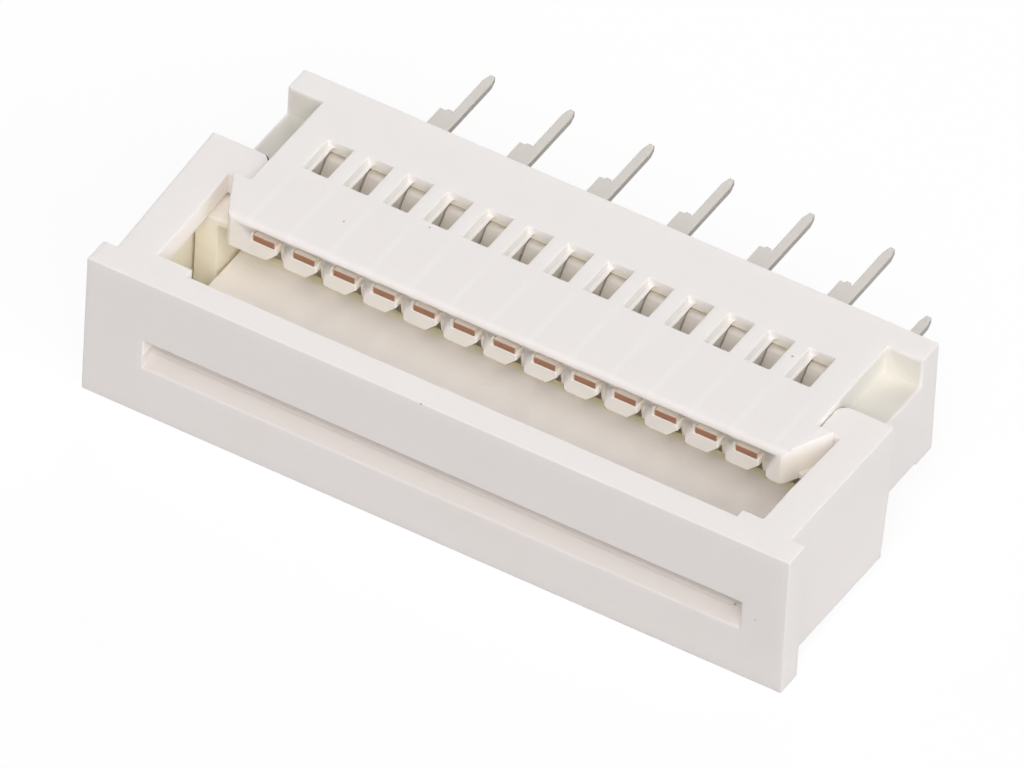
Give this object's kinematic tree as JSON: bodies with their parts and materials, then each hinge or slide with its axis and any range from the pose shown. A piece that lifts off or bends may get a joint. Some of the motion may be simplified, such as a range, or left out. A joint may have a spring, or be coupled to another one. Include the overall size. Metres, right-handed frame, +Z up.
{
  "type": "fpc connector",
  "caption": "Straight through-hole connector for a flat flexible cable: slotted slider with tongue and hooked side arms on a comb housing, staggered solder tails at the rear.",
  "frame": {"origin": "middle of the part's box, on the surface that it lies on", "axes": "+X along the row of contacts; +Y from the cable entry towards the solder tails; +Z up from the long side that it lies on"},
  "size_m": [0.0218, 0.0132, 0.0049],
  "materials": {
    "housing_nylon": "satin",
    "slider_nylon": "satin",
    "contact_metal": "satin"
  },
  "bodies": {
    "housing": {"housing": "housing_nylon", "terminal_01": "contact_metal", "terminal_02": "contact_metal", "terminal_03": "contact_metal", "terminal_04": "contact_metal", "terminal_05": "contact_metal", "terminal_06": "contact_metal", "terminal_07": "contact_metal", "terminal_08": "contact_metal", "terminal_09": "contact_metal", "terminal_10": "contact_metal", "terminal_11": "contact_metal", "terminal_12": "contact_metal", "terminal_13": "contact_metal"},
    "slider": {"slider": "slider_nylon"}
  },
  "joints": [
    {"name": "slider_travel", "type": "slide", "parent": "housing", "child": "slider", "axis": [0, 1, 0], "range_m": [0, 0.0023]}
  ]
}
